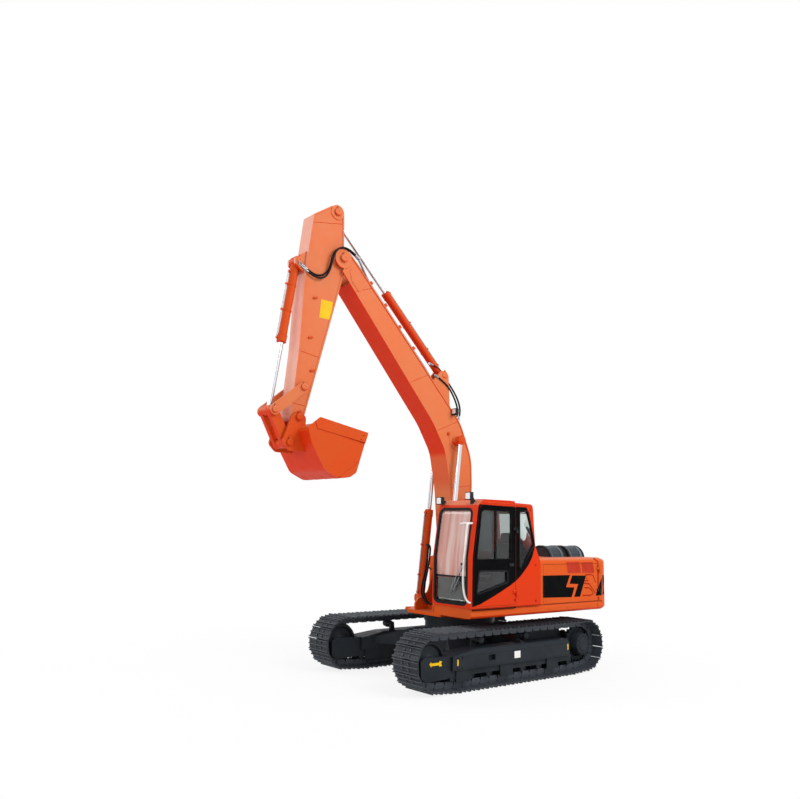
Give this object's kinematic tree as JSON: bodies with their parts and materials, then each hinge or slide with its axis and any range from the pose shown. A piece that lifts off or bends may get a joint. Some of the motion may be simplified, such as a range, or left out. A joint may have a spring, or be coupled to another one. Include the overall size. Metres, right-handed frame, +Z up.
{
  "type": "crawler excavator",
  "caption": "Crawler excavator with a swinging house, hollow cab, two-piece digging boom and arm worked by hydraulic cylinders, curled bucket and steel tracks.",
  "frame": {"origin": "on the ground under the middle of the machine's overall box; the swing axis stands 0.745 m behind it", "axes": "+X forward, the way the boom reaches; +Y to the machine's left, the cab side; +Z up"},
  "size_m": [7.0248, 2.99, 7.9135],
  "materials": {
    "orange_paint": "gloss",
    "dark_paint": "satin",
    "track_steel": "worn",
    "chrome": "polished",
    "glass": "clear",
    "seat_fabric": "woven",
    "black_plastic": "matte"
  },
  "bodies": {
    "undercarriage": {"carbody": "dark_paint", "slewing_ring": "dark_paint", "track_frame_left": "dark_paint", "track_left": "track_steel", "rollers_left": "dark_paint", "idler_left": "dark_paint", "sprocket_left": "dark_paint", "track_frame_right": "dark_paint", "track_right": "track_steel", "rollers_right": "dark_paint", "idler_right": "dark_paint", "sprocket_right": "dark_paint"},
    "house": {"main_frame": "orange_paint", "counterweight": "orange_paint", "left_housing": "orange_paint", "right_housing": "orange_paint", "fuel_tank": "orange_paint", "top_cover": "orange_paint", "engine_block": "dark_paint", "exhaust": "dark_paint", "cab_shell": "orange_paint", "seat": "seat_fabric", "consoles": "black_plastic", "hood_covers": "dark_paint", "cab_glass": "glass", "cab_lamps": "black_plastic"},
    "cab_door": {"cab_door": "orange_paint", "door_glass": "glass"},
    "left_door": {"left_door": "orange_paint"},
    "right_door": {"right_door": "orange_paint"},
    "hood": {"engine_hood": "orange_paint"},
    "boom": {"boom": "orange_paint", "boom_lamp": "black_plastic"},
    "boom_barrels": {"boom_barrel": "orange_paint"},
    "boom_rods": {"boom_rod": "chrome"},
    "arm": {"arm": "orange_paint"},
    "arm_barrel": {"arm_barrel": "orange_paint"},
    "arm_rod": {"arm_rod": "chrome"},
    "bucket": {"bucket": "orange_paint"},
    "arm_links": {"arm_links": "orange_paint"},
    "h_link": {"h_link": "orange_paint"},
    "bucket_barrel": {"bucket_barrel": "orange_paint"},
    "bucket_rod": {"bucket_rod": "chrome"}
  },
  "joints": [
    {"name": "swing", "type": "hinge", "parent": "undercarriage", "child": "house", "pos_m": [-0.745, 0, 0.86], "axis": [0, 0, 1], "continuous": true},
    {"name": "boom_lift", "type": "hinge", "parent": "house", "child": "boom", "pos_m": [-0.545, 0, 1.85], "axis": [0, -1, 0], "range_deg": [-82, 4]},
    {"name": "arm_swing", "type": "hinge", "parent": "boom", "child": "arm", "pos_m": [2.235, 0, 6.97], "axis": [0, 1, 0], "range_deg": [-100, 14]},
    {"name": "bucket_curl", "type": "hinge", "parent": "arm", "child": "bucket", "pos_m": [2.975, 0, 4.18], "axis": [0, -1, 0], "range_deg": [-15, 115]},
    {"name": "boom_barrel_tilt", "type": "hinge", "parent": "house", "child": "boom_barrels", "pos_m": [-0.09, 0, 1.15], "axis": [0, -1, 0], "range_deg": [-70.06, 3.42]},
    {"name": "boom_rod_slide", "type": "slide", "parent": "boom_barrels", "child": "boom_rods", "axis": [-0.1075, 0, 0.9942], "range_m": [-0.972, 0.048]},
    {"name": "arm_barrel_tilt", "type": "hinge", "parent": "boom", "child": "arm_barrel", "pos_m": [-0.2, 0, 5.32], "axis": [0, 1, 0], "range_deg": [-1.29, 0.18]},
    {"name": "arm_rod_slide", "type": "slide", "parent": "arm_barrel", "child": "arm_rod", "axis": [0.7204, 0, 0.6936], "range_m": [-1.253, 0.176]},
    {"name": "arm_link_turn", "type": "hinge", "parent": "arm", "child": "arm_links", "pos_m": [2.895, 0, 4.67], "axis": [0, -1, 0], "range_deg": [-9.58, 73.45]},
    {"name": "h_link_turn", "type": "hinge", "parent": "arm_links", "child": "h_link", "pos_m": [3.395, 0, 4.255], "axis": [0, -1, 0], "range_deg": [-59.88, 7.82]},
    {"name": "bucket_barrel_tilt", "type": "hinge", "parent": "arm", "child": "bucket_barrel", "pos_m": [3.035, 0, 6.77], "axis": [0, -1, 0], "range_deg": [-0.63, 4.82]},
    {"name": "bucket_rod_slide", "type": "slide", "parent": "bucket_barrel", "child": "bucket_rod", "axis": [0.1417, 0, -0.9899], "range_m": [-0.757, 0.099]},
    {"name": "cab_door_hinge", "type": "hinge", "parent": "house", "child": "cab_door", "pos_m": [-0.752, 1.402, 1.3], "axis": [0, 0, 1], "range_deg": [0, 160]},
    {"name": "left_door_hinge", "type": "hinge", "parent": "house", "child": "left_door", "pos_m": [-3.102, 1.377, 1.3], "axis": [0, 0, 1], "range_deg": [0, 110]},
    {"name": "right_door_hinge", "type": "hinge", "parent": "house", "child": "right_door", "pos_m": [-3.102, -1.377, 1.3], "axis": [0, 0, -1], "range_deg": [0, 110]},
    {"name": "hood_hinge", "type": "hinge", "parent": "house", "child": "hood", "pos_m": [-1.848, 0, 2.042], "axis": [0, 1, 0], "range_deg": [0, 65]}
  ],
  "couplings": [
    {"joint": "boom_barrel_tilt", "follows": "boom_lift", "ratio": 0.85436},
    {"joint": "boom_rod_slide", "follows": "boom_lift", "m_per_rad": 0.67877},
    {"joint": "arm_barrel_tilt", "follows": "arm_swing", "ratio": 0.012805},
    {"joint": "arm_rod_slide", "follows": "arm_swing", "m_per_rad": 0.71787},
    {"joint": "arm_link_turn", "follows": "bucket_curl", "ratio": 0.63862},
    {"joint": "h_link_turn", "follows": "bucket_curl", "ratio": -0.52068},
    {"joint": "bucket_barrel_tilt", "follows": "bucket_curl", "ratio": 0.041884},
    {"joint": "bucket_rod_slide", "follows": "bucket_curl", "m_per_rad": -0.37673}
  ]
}
